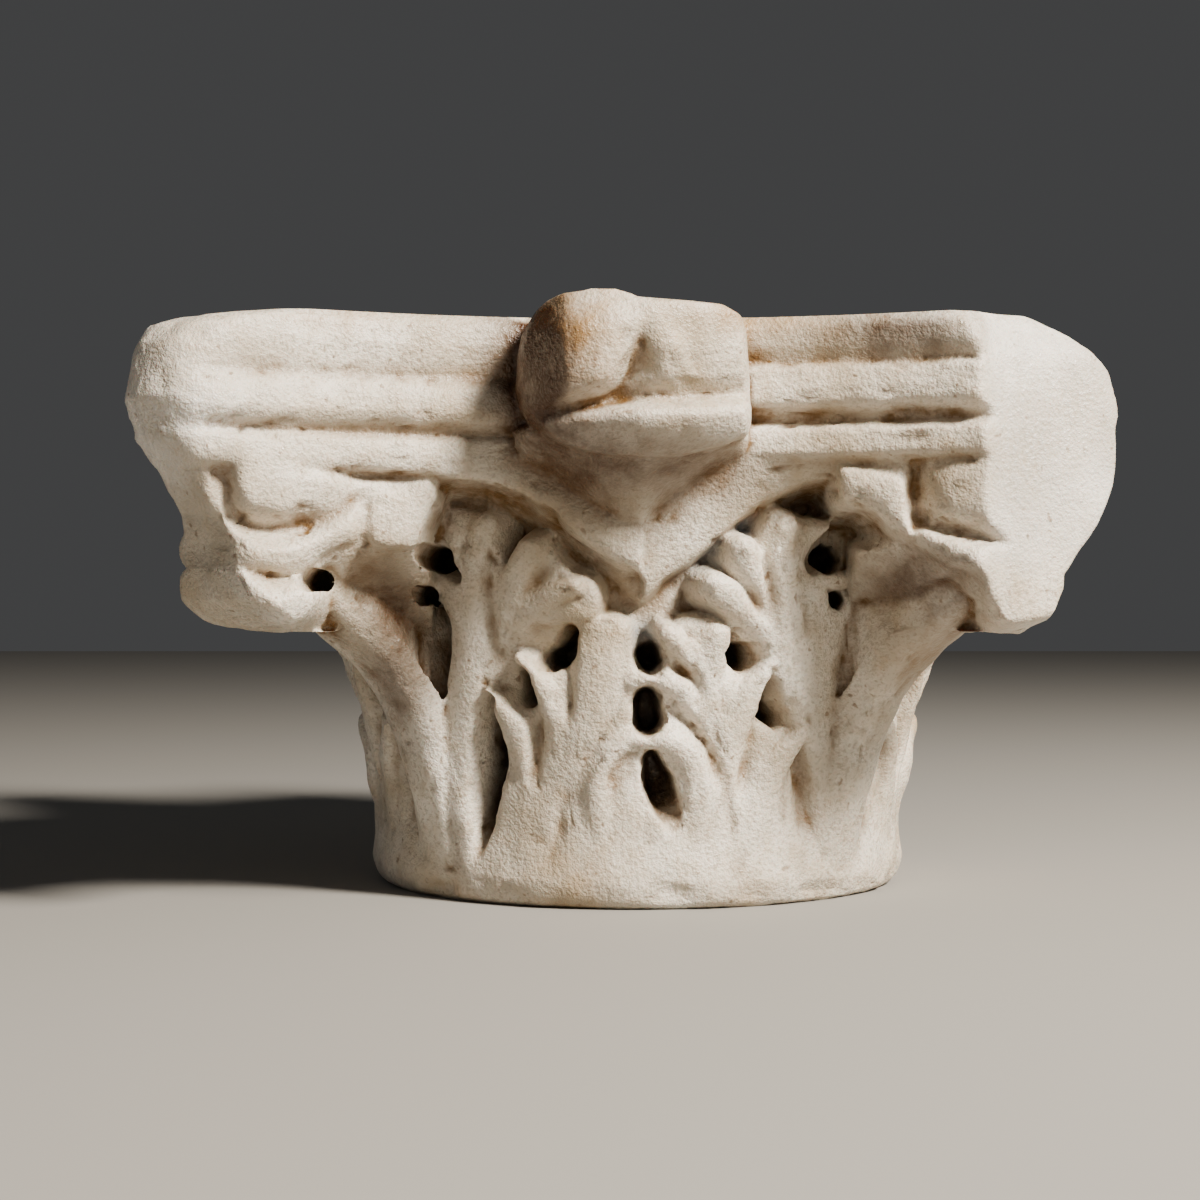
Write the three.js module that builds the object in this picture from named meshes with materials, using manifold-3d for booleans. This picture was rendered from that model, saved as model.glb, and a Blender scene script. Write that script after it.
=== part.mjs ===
// A small marble Corinthian capital of late antiquity, carved from one block.
// A round bell carries a ring of eight low toothed leaves, four corner leaves with their fronds,
// four pairs of volutes, and a concave four-horned abacus with a boss in the middle of each side.
// The front is worn and broken as found: one horn has split away and the boss has lost its face.
// Millimetres, +Z up. The origin is the centre of the round underside, and the front looks to -Y.

import * as THREE from 'three';
import { mergeVertices } from 'three/addons/utils/BufferGeometryUtils.js';
import Module from 'manifold-3d';

const wasm = await Module();
wasm.setup();

// The whole block
const HEIGHT = 160;
const BASE_RADIUS = 81;
const BASE_WEAR = 6;

// Abacus: heights of its bands from the top down, and its plan
const TOP_BAND = 17;
const ROLL_BAND = 15;
const GROOVE = 2.5;
const FILLET = 6.5;
const GROOVE_DEPTH = 6;
const FILLET_INSET = 2;
const FACE_DISTANCE = 98;
const HORN_DISTANCE = 175;
const HORN_WIDTH = 30;
const HORN_WEAR = 20;

// Bell behind the leaves
const CORE_RADIUS = 76;
const LIP_RADIUS = 88;

// Foliage
const LEAF_HEIGHT = 79;
const LEAF_FLARE = 9;
const FROND_HEIGHT = 108;
const FROND_FLARE = 16;
const RIDGE = 2.4;
const CORNER_REACH = 126;
const CORNER_WIDTH = 19;

// Arched fillet that dips to a point under each boss
const ARCH_SPAN = 60;
const ARCH_DROP = 19;
const ARCH_POINT_DEPTH = 21;

// Volutes and boss
const VOLUTE_DROP = 42;
const VOLUTE_REACH = 164;
const BOSS_WIDTH = 61;
const BOSS_REACH = 134;
const BRACKET_WIDTH = 100;

// Drill
const DRILL_RADIUS = 3.4;
const DRILL_DEPTH = 13;

const ABACUS_FOOT = HEIGHT - TOP_BAND - ROLL_BAND - GROOVE - FILLET;
const HORN_CORNER_X = (HORN_DISTANCE - HORN_WIDTH / 2) * Math.SQRT1_2;
const HORN_CORNER_Y = (HORN_DISTANCE + HORN_WIDTH / 2) * Math.SQRT1_2;
const SIDE_SWEEP = (HORN_CORNER_Y - FACE_DISTANCE) / HORN_CORNER_X ** 2;
const QUARTER = Math.PI / 2;
const BURIED = 9;

// Solids

// A closed geometry as a solid, with its shared vertices welded and its faces turned outwards.
function solid(geometry) {
  const plain = geometry.clone();
  plain.deleteAttribute('normal');
  plain.deleteAttribute('uv');
  const welded = mergeVertices(plain, 1e-4);
  const place = welded.getAttribute('position');
  const index = Array.from(welded.getIndex().array);
  const corner = (i) => new THREE.Vector3().fromBufferAttribute(place, i);
  const triangles = [];
  let volume = 0;
  for (let i = 0; i < index.length; i += 3) {
    const [a, b, c] = index.slice(i, i + 3);
    if (a === b || b === c || c === a) continue;
    volume += corner(a).dot(corner(b).cross(corner(c)));
    triangles.push([a, b, c]);
  }
  const outward = triangles.map(([a, b, c]) => (volume > 0 ? [a, b, c] : [a, c, b]));
  return new wasm.Manifold(new wasm.Mesh({
    numProp: 3,
    vertProperties: new Float32Array(place.array),
    triVerts: new Uint32Array(outward.flat()),
  }));
}

// A closed skin over rings of equally many points, with both end rings closed by a fan.
function loft(rings) {
  const count = rings[0].length;
  const points = rings.flat();
  const faces = [];
  for (let ring = 0; ring < rings.length - 1; ring += 1) {
    for (let i = 0; i < count; i += 1) {
      const a = ring * count + i;
      const b = ring * count + ((i + 1) % count);
      faces.push(a, b, b + count, a, b + count, a + count);
    }
  }
  for (const ring of [0, rings.length - 1]) {
    const first = ring * count;
    const middle = new THREE.Vector3();
    rings[ring].forEach((point) => middle.addScaledVector(point, 1 / count));
    points.push(middle);
    for (let i = 0; i < count; i += 1) {
      const next = first + ((i + 1) % count);
      const edge = ring === 0 ? [next, first + i] : [first + i, next];
      faces.push(...edge, points.length - 1);
    }
  }
  const geometry = new THREE.BufferGeometry().setFromPoints(points);
  geometry.setIndex(faces);
  return geometry;
}

// Places on the block

// Outer surface of the low leaves and of the fronds, and the bell cut back behind and above them.
const leafRadius = (z) => BASE_RADIUS + LEAF_FLARE * (z / LEAF_HEIGHT) ** 2;
const frondRadius = (z) => BASE_RADIUS + FROND_FLARE * (z / FROND_HEIGHT) ** 1.5;
const RIM = LEAF_HEIGHT * 0.84;
const BELL_PROFILE = [
  [0, BASE_RADIUS - BASE_WEAR],
  [BASE_WEAR * 0.3, BASE_RADIUS - BASE_WEAR * 0.35],
  [BASE_WEAR, BASE_RADIUS - BASE_WEAR * 0.08],
  [LEAF_HEIGHT * 0.28, BASE_RADIUS],
  [RIM * 0.7, leafRadius(RIM * 0.7) - 1],
  [RIM, leafRadius(RIM) - 1.5],
  [RIM + 2, CORE_RADIUS],
  [ABACUS_FOOT, LIP_RADIUS],
];

// A point on the bell: an angle from the middle of the face, a height and a distance from the axis.
function onBell(angle, z, radius) {
  return new THREE.Vector3(radius * Math.sin(angle), -radius * Math.cos(angle), z);
}

// A point on the concave side of the abacus, set back from it by an inset.
function onSide(x, z, inset) {
  return new THREE.Vector3(x, inset - FACE_DISTANCE - SIDE_SWEEP * x ** 2, z);
}

// Where the side, set back by an inset, meets a horn end that lies at a distance along the diagonal.
function hornX(inset, distance) {
  const gap = FACE_DISTANCE - inset - distance * Math.SQRT2;
  return (Math.sqrt(1 - 4 * SIDE_SWEEP * gap) - 1) / (2 * SIDE_SWEEP);
}

// Bell and abacus

function bell() {
  const profile = [new THREE.Vector2(0, 0)];
  BELL_PROFILE.forEach(([z, radius]) => profile.push(new THREE.Vector2(radius, z)));
  profile.push(new THREE.Vector2(LIP_RADIUS, ABACUS_FOOT + GROOVE + FILLET));
  profile.push(new THREE.Vector2(0, ABACUS_FOOT + GROOVE + FILLET));
  return new THREE.LatheGeometry(profile, 28).rotateX(QUARTER);
}

// The plan of the abacus at one height: four concave sides, each from horn to horn.
function plan(z, inset, hornInset) {
  const sideSteps = 6;
  const reach = hornX(inset, HORN_DISTANCE - hornInset);
  const ring = [];
  for (let face = 0; face < 4; face += 1) {
    for (let i = 0; i <= sideSteps; i += 1) {
      const x = reach * (2 * (i / sideSteps) - 1);
      ring.push(onSide(x, z, inset).applyAxisAngle(new THREE.Vector3(0, 0, 1), face * QUARTER));
    }
  }
  return ring;
}

// The moulding, from the top edge down: plain band, roll and the groove under it.
function abacus() {
  const rollTop = HEIGHT - TOP_BAND;
  const rollFoot = rollTop - ROLL_BAND;
  return loft([
    plan(HEIGHT, 3, HORN_WEAR),
    plan(HEIGHT - TOP_BAND * 0.3, 0.5, HORN_WEAR * 0.4),
    plan(HEIGHT - TOP_BAND * 0.6, 1.5, HORN_WEAR * 0.12),
    plan(rollTop, 3.5, 0),
    plan(rollTop - ROLL_BAND * 0.2, 0, 0),
    plan(rollTop - ROLL_BAND * 0.55, -1, 0),
    plan(rollFoot + ROLL_BAND * 0.12, 1.5, 0.5),
    plan(rollFoot, GROOVE_DEPTH, 3),
    plan(ABACUS_FOOT + FILLET / 2, GROOVE_DEPTH + 1, 4),
  ]);
}

// How far the fillet has dipped at x, from 0 at the arch's springing to 1 in the middle.
const dipAt = (x) => Math.max(0, 1 - Math.abs(x) / ARCH_SPAN) ** 1.5;
const archTop = (x) => ABACUS_FOOT + FILLET - ARCH_DROP * dipAt(x);

// A band across one side, lofted through upright sections that lie symmetrically about the middle.
function acrossSide(half, shares, section) {
  const right = shares.map((share) => share * half);
  const left = [...right].reverse().map((x) => -x);
  return loft([...left, 0, ...right].map(section));
}

// The fillet along one side: it dips from the horns to a point in the middle.
function arch() {
  const back = FACE_DISTANCE - LIP_RADIUS + 12;
  const end = hornX(FILLET_INSET, HORN_DISTANCE) * 0.95;
  return acrossSide(end, [0.12, 0.3, 0.55, 1], (x) => {
    const lower = ABACUS_FOOT - (ARCH_DROP + ARCH_POINT_DEPTH - FILLET) * dipAt(x);
    return [
      onSide(x, archTop(x), FILLET_INSET), onSide(x, lower, FILLET_INSET + 8 * dipAt(x)),
      onSide(x, lower, back), onSide(x, archTop(x), back),
    ];
  });
}

// The bracket under the boss: an upturned pyramid between the two arms of the arch.
function bracket() {
  const top = ABACUS_FOOT + FILLET + GROOVE;
  const back = FACE_DISTANCE - LIP_RADIUS + 12;
  return acrossSide(BRACKET_WIDTH / 2, [0.4, 1], (x) => {
    const jut = (BOSS_REACH - 12 - FACE_DISTANCE) * (1 - (2 * Math.abs(x)) / BRACKET_WIDTH);
    return [
      onSide(x, top, FILLET_INSET - jut), onSide(x, archTop(x) - 1, FILLET_INSET),
      onSide(x, archTop(x) - 1, back), onSide(x, top, back),
    ];
  });
}

// Foliage

// A lobe of a leaf: a ridged tongue that rises from its root, turns and ends at its tip.
// Root, turn and tip are [degrees from the middle of the face, share of the leaf's height];
// the width runs from the root to the tip, and the tip curls away from the bell. A stem stands
// on the bell with its whole width, and a lobe is undercut from its edges to a keel in the bell.
const STEM_SECTION = [[-1, 'buried'], [-1, 'edge'], [0, 'ridge'], [1, 'edge'], [1, 'buried']];
const LOBE_SECTION = [[-1, 'edge'], [0, 'ridge'], [1, 'edge'], [0, 'buried']];

function lobe({ root, turn, tip, width, curl = 2 }, leafHeight, radiusAt, side, section, steps) {
  const place = ([degrees, share]) =>
    new THREE.Vector2(side * THREE.MathUtils.degToRad(degrees) * BASE_RADIUS, share * leafHeight);
  const path = new THREE.QuadraticBezierCurve(place(root), place(turn), place(tip));
  const rings = [];
  for (let step = 0; step <= steps; step += 1) {
    const t = step / steps;
    const centre = path.getPoint(t);
    const across = path.getTangent(t).rotateAround(new THREE.Vector2(), QUARTER);
    const half = THREE.MathUtils.lerp(width[0], width[1], t) / 2;
    rings.push(section.map(([offset, level]) => {
      const point = centre.clone().addScaledVector(across, offset * half);
      const crest = radiusAt(point.y) + curl * t * t;
      const edge = crest - Math.min(half * 0.32, RIDGE);
      const radius = { buried: CORE_RADIUS - BURIED, edge, ridge: crest }[level];
      return onBell(point.x / BASE_RADIUS, Math.max(point.y, 0), radius);
    }));
  }
  return loft(rings);
}

// Lobes of one low leaf, from the middle of the side outwards.
const LEAF_LOBES = {
  innerTip: { root: [14, 0.6], turn: [12, 0.88], tip: [4, 1.0], width: [17, 8] },
  outerTip: { root: [16, 0.58], turn: [16, 0.8], tip: [17.5, 0.98], width: [14, 8] },
  innerArch: { root: [13.5, 0.5], turn: [11, 0.9], tip: [0.6, 0.79], width: [12, 8], curl: 0 },
  lowArch: { root: [12, 0.3], turn: [11, 0.68], tip: [-0.6, 0.57], width: [14, 10], curl: 0 },
  outerTooth: { root: [19.5, 0.45], turn: [20.5, 0.72], tip: [25.5, 0.87], width: [15, 5] },
  lowTooth: { root: [25, 0.22], turn: [26, 0.5], tip: [33.5, 0.62], width: [17, 5] },
};

// The low leaf left of the middle of the front leans inwards and is broad and blunt at the top.
const BLUNT_LEAF_LOBES = {
  innerTip: { root: [11, 0.58], turn: [7, 0.8], tip: [3, 0.99], width: [17, 11] },
  outerTip: { root: [12, 0.58], turn: [10.5, 0.8], tip: [10.8, 0.99], width: [15, 9] },
  innerArch: { root: [12, 0.45], turn: [6, 0.6], tip: [2.5, 0.78], width: [18, 14], curl: 0 },
  lowArch: { root: [13, 0.25], turn: [11, 0.56], tip: [0.5, 0.59], width: [16, 12], curl: 0 },
  outerTooth: { root: [18, 0.42], turn: [18, 0.68], tip: [22.3, 0.88], width: [13, 4] },
  lowTooth: { root: [23, 0.2], turn: [22.5, 0.5], tip: [29.5, 0.76], width: [14, 4] },
};

// Lobes of one frond, the half of a corner leaf that shows on a side.
const FROND_LOBES = {
  stem: { root: [34, 0.04], turn: [34, 0.5], tip: [30, 0.88], width: [17, 15], curl: 0 },
  palm: { root: [31, 0.42], turn: [28.5, 0.72], tip: [22, 0.84], width: [14, 22], curl: -1.5 },
  peak: { root: [30, 0.72], turn: [28.5, 0.88], tip: [25, 1.0], width: [15, 7] },
  middleTooth: { root: [28, 0.68], turn: [25, 0.84], tip: [18, 0.92], width: [14, 8] },
  lowTooth: { root: [28, 0.58], turn: [24, 0.76], tip: [11, 0.8], width: [16, 7] },
  shoulder: { root: [31, 0.72], turn: [33, 0.9], tip: [39, 1.0], width: [12, 10], curl: 0 },
  bridge: { root: [33, 0.7], turn: [35, 0.79], tip: [42, 0.84], width: [7, 6], curl: 0 },
};

// The lobes that only the front carries, and those that bend on the more plainly carved sides too.
const FRONT_ONLY = ['outerTip', 'innerArch', 'palm', 'bridge', 'shoulder'];
const ALWAYS_BENT = ['stem', 'lowArch'];

function foliage(lobes, leafHeight, radiusAt, side, plain) {
  const kept = Object.keys(lobes).filter((name) => !(plain && FRONT_ONLY.includes(name)));
  return kept.map((name) => {
    const section = name === 'stem' ? STEM_SECTION : LOBE_SECTION;
    const steps = plain && !ALWAYS_BENT.includes(name) ? 1 : 2;
    return lobe(lobes[name], leafHeight, radiusAt, side, section, steps);
  });
}

// The body of a corner leaf stands on the diagonal, widens upwards and flares out to the volutes.
function cornerLeaf() {
  const foot = BASE_RADIUS - 2;
  const flare = CORNER_REACH - foot;
  const top = ABACUS_FOOT - VOLUTE_DROP;
  const stations = [
    [0.03, 0, 0.9], [0.2, 0.1, 0.95], [0.5, 0.25, 1.0],
    [0.78, 0.48, 1.06], [0.9, 0.68, 1.12], [1.02, 1.0, 1.2], [1.2, 1.36, 1.3],
  ];
  const rings = stations.map(([rise, reach, girth]) => {
    const z = rise * top;
    const outer = foot + reach * flare;
    const half = (girth * CORNER_WIDTH) / 2;
    const inner = CORE_RADIUS - BURIED;
    const section = [[inner, -1], [outer - half * 0.6, -1], [outer, -0.4],
      [outer, 0.4], [outer - half * 0.6, 1], [inner, 1]];
    return section.map(([distance, offset]) =>
      new THREE.Vector3(distance, offset * half, z).applyAxisAngle(new THREE.Vector3(0, 0, 1), -QUARTER / 2));
  });
  return loft(rings);
}

// Volutes

// The block that a pair of volutes is carved on: it hangs under a horn, between two sides.
function voluteBlock() {
  const levels = [
    [1.16, 3, 1.04, 0.3], [0.98, 3.5, 1.035, 0.35], [0.9, 5.5, 1.02, 0.4], [0.62, 6, 1, 0.5],
    [0.46, 8, 0.985, 0.56], [0.3, 6, 1, 0.62], [0.12, 8, 0.97, 0.68], [0, 14, 0.91, 0.74],
  ];
  const rings = levels.map(([rise, inset, reach, start]) => {
    const z = ABACUS_FOOT - VOLUTE_DROP * (1 - rise);
    const end = hornX(inset, VOLUTE_REACH * reach);
    const side = [start, (start + 1) / 2, 0.98].map((share) => onSide(share * end, z, inset));
    const across = side.map((point) => new THREE.Vector3(-point.y, -point.x, z)).reverse();
    const core = (CORE_RADIUS - BURIED) * Math.SQRT1_2;
    return [...side, ...across, new THREE.Vector3(core, -core, z)];
  });
  return loft(rings);
}

// A rounded roll laid along a side from [x, z] through a turn to its end.
function roll({ from, turn, to, radius, inset }) {
  const path = new THREE.QuadraticBezierCurve(
    new THREE.Vector2(...from), new THREE.Vector2(...turn), new THREE.Vector2(...to));
  const steps = 2;
  const sides = 4;
  const rings = [];
  for (let step = 0; step <= steps; step += 1) {
    const t = step / steps;
    const centre = path.getPoint(t);
    const across = path.getTangent(t).rotateAround(new THREE.Vector2(), QUARTER);
    const swell = THREE.MathUtils.lerp(radius[0], radius[1], t) * (step % steps === 0 ? 0.6 : 1);
    rings.push(Array.from({ length: sides }, (_, i) => {
      const turnAngle = (i / sides) * 2 * Math.PI;
      const point = centre.clone().addScaledVector(across, swell * Math.cos(turnAngle));
      return onSide(point.x, point.y, inset + swell * Math.sin(turnAngle));
    }));
  }
  return loft(rings);
}

// The volute on one end of a side: an upper coil, a second coil and the curled tip below them.
function volute(side, plain) {
  const foot = ABACUS_FOOT - VOLUTE_DROP;
  const at = (x, rise) => [side * x * HORN_CORNER_X, foot + rise * VOLUTE_DROP];
  const coils = [
    roll({ from: at(0.92, 0.78), turn: at(0.84, 0.95), to: at(0.62, 0.84), radius: [7.5, 6.5], inset: 8 }),
    roll({ from: at(0.94, 0.28), turn: at(0.88, 0.1), to: at(0.78, 0.26), radius: [8.5, 6.5], inset: 8 }),
    roll({ from: at(0.92, 0.48), turn: at(0.82, 0.56), to: at(0.62, 0.6), radius: [6, 5], inset: 8 }),
  ];
  return plain ? coils.slice(0, 2) : coils;
}

// Boss

// One level of the boss: a prow between its two flanks, pointing away from the side.
function prow(z, width, reach, flankReach) {
  const half = width / 2;
  return [
    new THREE.Vector3(-half, -CORE_RADIUS, z), new THREE.Vector3(-half, -flankReach, z),
    new THREE.Vector3(0, -reach, z), new THREE.Vector3(half, -flankReach, z),
    new THREE.Vector3(half, -CORE_RADIUS, z),
  ];
}

function boss() {
  const ledge = HEIGHT - TOP_BAND;
  const flank = (reach) => FACE_DISTANCE + (reach - FACE_DISTANCE) * 0.55;
  const levels = [
    [HEIGHT, 0.94, BOSS_REACH - 2], [ledge - 1, 1, BOSS_REACH - 4],
    [ledge - 4, 1, BOSS_REACH - 10], [ledge - 8, 1, BOSS_REACH - 5],
    [ledge - ROLL_BAND, 0.98, BOSS_REACH - 7], [ledge - ROLL_BAND - 5, 0.8, BOSS_REACH - 14],
  ];
  return loft(levels.map(([z, share, reach]) => prow(z, share * BOSS_WIDTH, reach, flank(reach))));
}

// What is left of the broken upper half of the front boss: a rounded stump left of its middle.
function brokenStump() {
  const ball = new THREE.IcosahedronGeometry(1, 1);
  ball.scale(BOSS_WIDTH * 0.33, 19, 17);
  ball.rotateY(0.45);
  ball.translate(-BOSS_WIDTH * 0.24, -FACE_DISTANCE - 17, HEIGHT - 15);
  return ball;
}

// Cuts

// A drilled hole that runs straight at the axis, at [degrees, height] on the bell.
function drill(degrees, z, tall = 1) {
  const length = DRILL_DEPTH + 30;
  const hole = new THREE.CylinderGeometry(DRILL_RADIUS * 1.25, DRILL_RADIUS * 0.8, length, 6);
  hole.rotateX(Math.PI);
  hole.scale(1, 1, tall);
  hole.translate(0, DRILL_DEPTH - CORE_RADIUS - length / 2, z);
  return hole.rotateZ(THREE.MathUtils.degToRad(degrees));
}

// Each hole is [degrees, share of the leaf's height], with how much taller than wide it is.
const LEAF_HOLES = [[19.5, 0.88], [28.5, 0.7]];
const MIDDLE_HOLES = [[1.2, 0.9, 1.2], [1.6, 0.69, 1.5], [3.5, 0.4, 2.6]];
const PLAIN_HOLES = [[0, 0.69, 1.5], [0, 0.4, 2.6]];
const FROND_HOLES = [[37.5, 0.9], [39.5, 0.79]];

function drilling(side) {
  return [
    ...LEAF_HOLES.map(([degrees, share]) => drill(side * degrees, share * LEAF_HEIGHT)),
    ...FROND_HOLES.map(([degrees, share]) => drill(side * degrees, share * FROND_HEIGHT)),
  ];
}

// The channel between a low leaf and the frond beside it: it opens and deepens upwards.
function channel(side) {
  const stations = [[34, 0.1, 1, 0], [32.5, 0.4, 2.6, 5], [30, 0.72, 4, 8], [28, 0.95, 5, 9]];
  return loft(stations.map(([degrees, share, half, depth]) => {
    const z = share * LEAF_HEIGHT;
    const surface = leafRadius(z);
    const angle = side * THREE.MathUtils.degToRad(degrees);
    return [
      onBell(angle - half / BASE_RADIUS, z, surface + 3),
      onBell(angle, z, surface - depth),
      onBell(angle + half / BASE_RADIUS, z, surface + 3),
    ];
  }));
}

// The eye of a volute, bored straight back from the side.
function eye(side) {
  const hole = new THREE.CylinderGeometry(DRILL_RADIUS, DRILL_RADIUS, DRILL_DEPTH * 2, 6);
  const x = 0.76 * HORN_CORNER_X;
  const place = onSide(side * x, ABACUS_FOOT - VOLUTE_DROP * 0.68, 10);
  return hole.translate(place.x, place.y, place.z);
}

// The clean split that took the front right horn, from near its corner to the side behind it.
function split() {
  const block = new THREE.BoxGeometry(120, 60, 74);
  block.translate(30, -30, 37);
  block.rotateX(-0.08);
  block.rotateZ(0.42);
  return block.translate(HORN_CORNER_X * 0.76, -FACE_DISTANCE - 21, ABACUS_FOOT - VOLUTE_DROP * 0.48);
}

// The capital

function joined(shapes) {
  return shapes.map(solid).reduce((whole, shape) => whole.add(shape));
}

function capital() {
  const shapes = [bell(), abacus()];
  const cuts = [split()];
  for (let face = 0; face < 4; face += 1) {
    const here = (shape) => shape.rotateZ(face * QUARTER);
    shapes.push(here(arch()), here(boss()), here(bracket()), here(cornerLeaf()), here(voluteBlock()));
    const holes = face === 0 ? MIDDLE_HOLES : PLAIN_HOLES;
    cuts.push(...holes.map(([degrees, share, tall]) => here(drill(degrees, share * LEAF_HEIGHT, tall))));
    for (const side of [-1, 1]) {
      const leaf = face === 0 && side === -1 ? BLUNT_LEAF_LOBES : LEAF_LOBES;
      shapes.push(...foliage(leaf, LEAF_HEIGHT, leafRadius, side, face > 0).map(here));
      shapes.push(...foliage(FROND_LOBES, FROND_HEIGHT, frondRadius, side, face > 0).map(here));
      shapes.push(...volute(side, face > 0).map(here));
      cuts.push(here(channel(side)));
      if (face === 0) cuts.push(...[eye(side), ...drilling(side)].map(here));
    }
  }
  shapes.push(brokenStump());
  const carved = joined(shapes).subtract(joined(cuts));
  const { vertProperties, triVerts } = carved.getMesh();
  const geometry = new THREE.BufferGeometry();
  geometry.setAttribute('position', new THREE.BufferAttribute(new Float32Array(vertProperties), 3));
  geometry.setIndex(Array.from(triVerts));
  geometry.computeVertexNormals();
  return geometry;
}

const marble = new THREE.MeshStandardMaterial({ color: '#d3c6b3', roughness: 0.62, metalness: 0 });
const block = new THREE.Mesh(capital(), marble);
block.name = 'capital';

const group = new THREE.Group();
group.add(block);

export default group;
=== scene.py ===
"""A small worn marble Corinthian capital: one block, carved, drilled, chipped and soiled.

The block is worked out in millimetres, from two fields, four bosses and four corner leaves.
The drum gives a radius for each angle and height, and holds the leaves and the fronds.
The head gives a distance from the axis for each place on a side, and holds the abacus, the
volutes, the arched fillet and the bracket. All are fused to one skin, drilled and weathered,
and given marks that the marble's colours read.
"""

import math

import bpy
import numpy as np
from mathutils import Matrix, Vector


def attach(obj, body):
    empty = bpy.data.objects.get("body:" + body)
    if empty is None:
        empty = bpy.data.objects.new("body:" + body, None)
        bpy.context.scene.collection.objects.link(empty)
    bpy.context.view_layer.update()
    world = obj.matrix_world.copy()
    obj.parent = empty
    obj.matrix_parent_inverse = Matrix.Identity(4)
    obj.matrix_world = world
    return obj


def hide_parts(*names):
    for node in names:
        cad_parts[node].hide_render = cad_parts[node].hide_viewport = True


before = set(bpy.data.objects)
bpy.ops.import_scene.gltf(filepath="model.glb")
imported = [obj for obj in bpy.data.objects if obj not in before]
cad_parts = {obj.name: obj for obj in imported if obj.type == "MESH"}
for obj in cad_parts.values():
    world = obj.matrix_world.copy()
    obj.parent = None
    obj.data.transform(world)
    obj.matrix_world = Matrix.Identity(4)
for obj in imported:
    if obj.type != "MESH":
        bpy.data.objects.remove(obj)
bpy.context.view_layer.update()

# Sizes of the block in millimetres, as in its solid
HEIGHT = 160.0
BASE_RADIUS = 81.0
LEAF_HEIGHT, LEAF_FLARE = 79.0, 9.0
FROND_HEIGHT, FROND_FLARE = 108.0, 16.0
FACE_DISTANCE = 98.0
SIDE_SWEEP = 0.00284
DRUM_TOP = 124.0
HEAD_FOOT = 76.5
# Millimetres along the drum for each degree, at a radius between its foot and the leaves' tips
DEGREE = math.radians(1) * 88
MM = 0.001
# Width of the cells that fuse the skins, and how many triangles the piece may have
SKIN_CELL, QUICK_SKIN_CELL = 0.85, 1.4
MOST_TRIANGLES = 190000


# Fields over a side: helpers

def smoothstep(low, high, value):
    """0 below low, 1 above high, and a smooth S between them."""
    t = np.clip((value - low) / (high - low), 0, 1)
    return t * t * (3 - 2 * t)


def raise_to(a, b, soft=1.5):
    """The larger of two fields, with the corner where they cross filled by a fillet."""
    gap = np.maximum(soft - np.abs(a - b), 0) / soft
    return np.maximum(a, b) + gap * gap * soft / 4


def lower_to(a, b, soft=1.5):
    """The smaller of two fields, with the corner where they cross rounded off."""
    return -raise_to(-a, -b, soft)


def rounded(points, times=2):
    """A closed outline whose corners are cut at a quarter of each edge, as often as asked."""
    line = np.array(points, float)
    for _ in range(times):
        after = np.roll(line, -1, axis=0)
        line = np.stack([line * 0.75 + after * 0.25, line * 0.25 + after * 0.75], 1).reshape(-1, 2)
    return line


def through(points, steps=5):
    """An open line through the points: between each two a cubic whose slopes come from their neighbours."""
    p = np.array(points, float)
    if len(p) < 3:
        return p
    ends = np.vstack([2 * p[0] - p[1], p, 2 * p[-1] - p[-2]])
    t = np.linspace(0, 1, steps, endpoint=False)[:, None, None]
    a, b, c, d = ends[:-3], ends[1:-2], ends[2:-1], ends[3:]
    spans = 0.5 * (2 * b + (c - a) * t + (2 * a - 5 * b + 4 * c - d) * t ** 2
                   + (3 * b - a - 3 * c + d) * t ** 3)
    return np.vstack([spans.transpose(1, 0, 2).reshape(-1, 2), p[-1]])


def to_segments(X, Z, start, end):
    """Distance from each place to each straight stretch, and how far along it the nearest point is."""
    run = end - start
    px = X[None] - start[:, 0, None, None]
    pz = Z[None] - start[:, 1, None, None]
    dx, dz = run[:, 0, None, None], run[:, 1, None, None]
    t = np.clip((px * dx + pz * dz) / np.maximum(dx * dx + dz * dz, 1e-9), 0, 1)
    return np.hypot(px - t * dx, pz - t * dz), t


def from_path(X, Z, path):
    """Distance from each place to an open line, and the share of the line passed at the nearest point."""
    start, end = path[:-1], path[1:]
    distance, t = to_segments(X, Z, start, end)
    nearest = distance.argmin(0)
    length = np.hypot(*(end - start).T)
    before = np.cumsum(length) - length
    t = np.take_along_axis(t, nearest[None], 0)[0]
    return distance.min(0), (before[nearest] + t * length[nearest]) / length.sum()


def inside(X, Z, outline):
    """Distance from each place to a closed outline: above zero inside, below zero outside."""
    start, end = outline, np.roll(outline, -1, axis=0)
    distance = to_segments(X, Z, start, end)[0].min(0)
    x0, z0 = start[:, 0, None, None], start[:, 1, None, None]
    x1, z1 = end[:, 0, None, None], end[:, 1, None, None]
    crosses = (z0 > Z[None]) != (z1 > Z[None])
    at = x0 + (Z[None] - z0) / np.where(z1 == z0, 1e-9, z1 - z0) * (x1 - x0)
    odd = (crosses & (X[None] < at)).sum(0) % 2 == 1
    return np.where(odd, distance, -distance)


def plate(X, Z, outline, surface, edge=1.6, soft=2.4, wall=5.0):
    """A raised plate: the surface inside an outline, eased down towards its rim, then a steep wall."""
    d = inside(X, Z, outline)
    return surface - edge * np.exp(-np.maximum(d, 0) / soft) - wall * np.maximum(-d, 0)


def tongue(X, Z, path, half, surface, lift=(0, 0), drop=3.0, wall=5.0):
    """A rounded bar along a line: half an ellipse across it, of changing half width, then a steep wall."""
    d, share = from_path(X, Z, path)
    width = np.interp(share, np.linspace(0, 1, len(half)), half)
    crest = surface + np.interp(share, np.linspace(0, 1, len(lift)), lift)
    q = np.minimum(d / width, 1)
    return crest - drop * (1 - np.sqrt(1 - q * q)) - wall * np.maximum(d - width, 0)


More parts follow.
